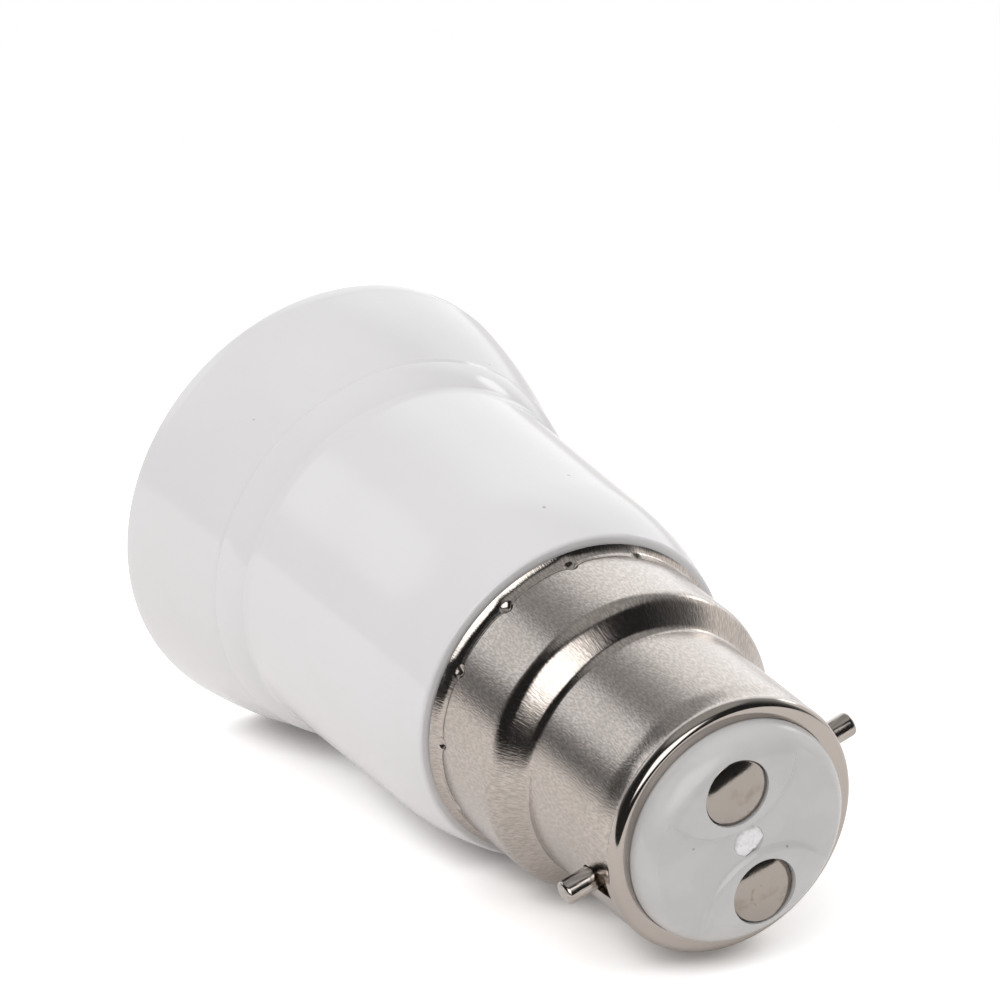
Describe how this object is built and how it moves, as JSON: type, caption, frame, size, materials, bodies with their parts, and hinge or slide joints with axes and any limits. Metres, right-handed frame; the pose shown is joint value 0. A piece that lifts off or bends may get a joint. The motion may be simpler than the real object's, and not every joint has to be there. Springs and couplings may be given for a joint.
{
  "type": "lamp socket adapter",
  "caption": "Round lamp socket adapter: bayonet cap with side pins and end contacts on a flared white housing that holds a screw lamp socket with a sprung centre contact.",
  "frame": {"origin": "centre of the mouth rim's plane, on which the adapter stands", "axes": "+Z along the adapter's axis, from the mouth towards the bayonet contacts; +X through the bayonet pins; +Y through the end contacts"},
  "size_m": [0.039, 0.039, 0.0665],
  "materials": {
    "housing_white": "glossy white moulding",
    "nickel": "nickel-plated drawn sheet, faintly brushed along the axis",
    "nickel_pin": "nickel-plated turned pin",
    "insulator_grey": "satin pale grey moulding",
    "contact_metal": "tinned contact disc with fine scratches",
    "screw_shell_metal": "plain pressed thread shell",
    "rivet_brass": "dull brass rivet",
    "spring_brass": "rolled brass spring strip",
    "wire_sleeve": "off-white wire sleeve",
    "solder": "dull solder bead"
  },
  "bodies": {
    "adapter": {"housing": "housing_white", "bayonet_shell": "nickel", "bayonet_pin_a": "nickel_pin", "bayonet_pin_b": "nickel_pin", "cap_insulator": "insulator_grey", "contact_plate_a": "contact_metal", "contact_plate_b": "contact_metal", "screw_shell": "screw_shell_metal", "shell_rivet_a": "rivet_brass", "shell_rivet_b": "rivet_brass", "centre_contact_base": "spring_brass", "centre_rivet": "rivet_brass", "centre_tag": "spring_brass", "shell_tag": "spring_brass", "wire_a": "wire_sleeve", "wire_b": "wire_sleeve", "solder_joint_a": "solder", "solder_joint_b": "solder"},
    "contact_leaf": {"centre_contact_leaf": "spring_brass"}
  },
  "joints": [
    {"name": "contact_leaf_flex", "type": "hinge", "parent": "adapter", "child": "contact_leaf", "pos_m": [-0.004, 0, 0.03228], "axis": [0, -1, 0], "range_deg": [0, 14], "stiffness_Nm_per_rad": 0.08}
  ]
}
